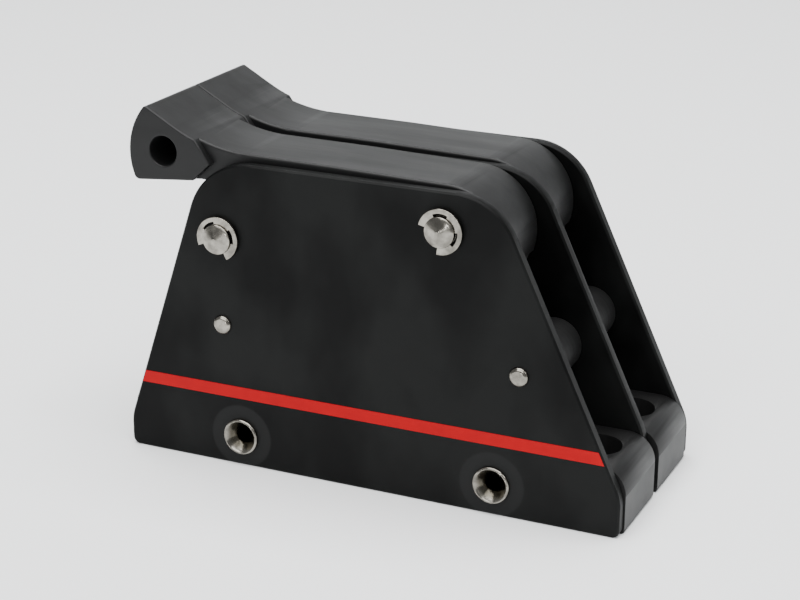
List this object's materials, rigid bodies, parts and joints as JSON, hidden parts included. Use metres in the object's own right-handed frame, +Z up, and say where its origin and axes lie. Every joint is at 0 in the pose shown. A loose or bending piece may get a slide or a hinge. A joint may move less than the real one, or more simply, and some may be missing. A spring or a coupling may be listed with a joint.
{
  "type": "rope clutch",
  "caption": "Lever-operated deck rope clutch with side-by-side rope channels, toothed jaws, guide rollers and bolt-down base blocks.",
  "frame": {"origin": "middle of the underside, on the deck", "axes": "+X along the ropes, towards the lever's nose and the winch; +Y across; +Z up from the deck"},
  "size_m": [0.1058, 0.0474, 0.0715],
  "materials": {
    "anodised_plate": "black anodised aluminium, satin",
    "moulded_block": "black glass-filled nylon, fine moulded grain",
    "moulded_lever": "black glass-filled nylon, slightly streaked top",
    "stainless": "turned stainless steel",
    "printed_line": "red printed line",
    "roller_plastic": "black acetal",
    "acetal_bush": "natural acetal",
    "cast_jaw": "hard anodised casting",
    "bed_metal": "pressed stainless steel",
    "spring_steel": "stainless spring wire"
  },
  "bodies": {
    "root": {"centre_plate": "anodised_plate", "lever_shaft": "stainless", "jaw_shaft": "stainless", "front_roller_pin": "stainless", "rear_roller_pin": "stainless", "front_tube_rivet": "stainless", "rear_tube_rivet": "stainless", "right_side_plate": "anodised_plate", "right_printed_line": "printed_line", "right_lever_clip": "stainless", "right_jaw_clip": "stainless", "right_base_block": "moulded_block", "right_bed_plate": "bed_metal", "right_bed_screws": "stainless", "right_jaw_spring": "spring_steel", "left_side_plate": "anodised_plate", "left_printed_line": "printed_line", "left_lever_clip": "stainless", "left_jaw_clip": "stainless", "left_base_block": "moulded_block", "left_bed_plate": "bed_metal", "left_bed_screws": "stainless", "left_jaw_spring": "spring_steel"},
    "right_lever": {"right_lever": "moulded_lever", "right_lever_bush": "acetal_bush"},
    "right_jaw": {"right_jaw_arm": "cast_jaw", "right_grip_plate": "bed_metal", "right_grip_screws": "stainless", "right_wear_pad": "bed_metal"},
    "right_front_roller": {"right_front_roller": "roller_plastic"},
    "right_rear_roller": {"right_rear_roller": "roller_plastic"},
    "left_lever": {"left_lever": "moulded_lever", "left_lever_bush": "acetal_bush"},
    "left_jaw": {"left_jaw_arm": "cast_jaw", "left_grip_plate": "bed_metal", "left_grip_screws": "stainless", "left_wear_pad": "bed_metal"},
    "left_front_roller": {"left_front_roller": "roller_plastic"},
    "left_rear_roller": {"left_rear_roller": "roller_plastic"}
  },
  "joints": [
    {"name": "right_lever_swing", "type": "hinge", "parent": "root", "child": "right_lever", "pos_m": [0.016, -0.01013, 0.0553], "axis": [0, 1, 0], "range_deg": [0, 120]},
    {"name": "right_jaw_swing", "type": "hinge", "parent": "root", "child": "right_jaw", "pos_m": [-0.031, -0.01013, 0.0474], "axis": [0, 1, 0], "range_deg": [-6, 0], "deforming": ["right_jaw_spring"]},
    {"name": "right_front_roller_spin", "type": "hinge", "parent": "root", "child": "right_front_roller", "pos_m": [0.032, -0.01013, 0.0291], "axis": [0, 1, 0], "continuous": true},
    {"name": "right_rear_roller_spin", "type": "hinge", "parent": "root", "child": "right_rear_roller", "pos_m": [-0.0307, -0.01013, 0.0295], "axis": [0, 1, 0], "continuous": true},
    {"name": "left_lever_swing", "type": "hinge", "parent": "root", "child": "left_lever", "pos_m": [0.016, 0.01013, 0.0553], "axis": [0, 1, 0], "range_deg": [0, 120]},
    {"name": "left_jaw_swing", "type": "hinge", "parent": "root", "child": "left_jaw", "pos_m": [-0.031, 0.01013, 0.0474], "axis": [0, 1, 0], "range_deg": [-6, 0], "deforming": ["left_jaw_spring"]},
    {"name": "left_front_roller_spin", "type": "hinge", "parent": "root", "child": "left_front_roller", "pos_m": [0.032, 0.01013, 0.0291], "axis": [0, 1, 0], "continuous": true},
    {"name": "left_rear_roller_spin", "type": "hinge", "parent": "root", "child": "left_rear_roller", "pos_m": [-0.0307, 0.01013, 0.0295], "axis": [0, 1, 0], "continuous": true}
  ],
  "couplings": [
    {"joint": "right_jaw_swing", "follows": "right_lever_swing", "ratio": -0.05},
    {"joint": "left_jaw_swing", "follows": "left_lever_swing", "ratio": -0.05}
  ]
}
